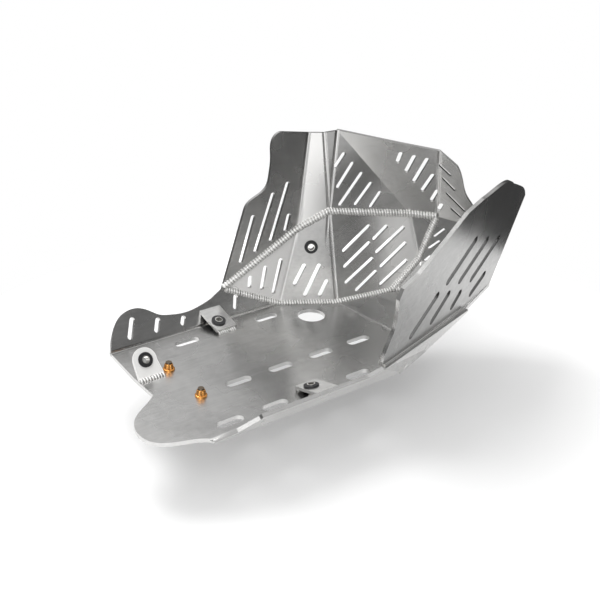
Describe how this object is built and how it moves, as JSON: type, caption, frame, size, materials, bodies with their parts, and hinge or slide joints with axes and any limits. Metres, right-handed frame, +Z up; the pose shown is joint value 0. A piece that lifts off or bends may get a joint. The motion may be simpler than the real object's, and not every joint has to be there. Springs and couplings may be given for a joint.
{
  "type": "motorcycle skid plate",
  "caption": "Folded and welded sheet metal skid plate with a slotted belly, raised slotted side guards that meet at a pointed front, and rubber-bushed mounting tabs.",
  "frame": {"origin": "middle of the bounding box at the underside of the belly", "axes": "+X forward toward the pointed front, +Y to the bike's left, +Z up"},
  "size_m": [0.5004, 0.2354, 0.197],
  "materials": {
    "brushed_sheet": "fine brushed, satin",
    "weld_metal": "rippled weld bead",
    "black_rubber": "smooth matte",
    "sleeve_steel": "turned",
    "screw_steel": "plain",
    "orange_nut": "anodised orange"
  },
  "bodies": {
    "root": {"base_plate": "brushed_sheet", "lower_side_panel": "brushed_sheet", "right_wing": "brushed_sheet", "upper_shell": "brushed_sheet", "rear_lug": "brushed_sheet", "left_tab": "brushed_sheet", "right_tab": "brushed_sheet", "ridge_weld": "weld_metal", "floor_weld": "weld_metal", "knee_weld": "weld_metal", "front_weld": "weld_metal", "wing_weld": "weld_metal", "wing_outer_weld": "weld_metal", "rear_lug_weld": "weld_metal", "left_tab_weld": "weld_metal", "right_tab_weld": "weld_metal", "side_bush": "black_rubber", "rear_bush": "black_rubber", "left_bush": "black_rubber", "right_bush": "black_rubber", "side_sleeve": "sleeve_steel", "rear_sleeve": "sleeve_steel", "left_sleeve": "sleeve_steel", "right_sleeve": "sleeve_steel", "tail_screws": "screw_steel", "tail_nuts": "orange_nut"}
  },
  "joints": []
}
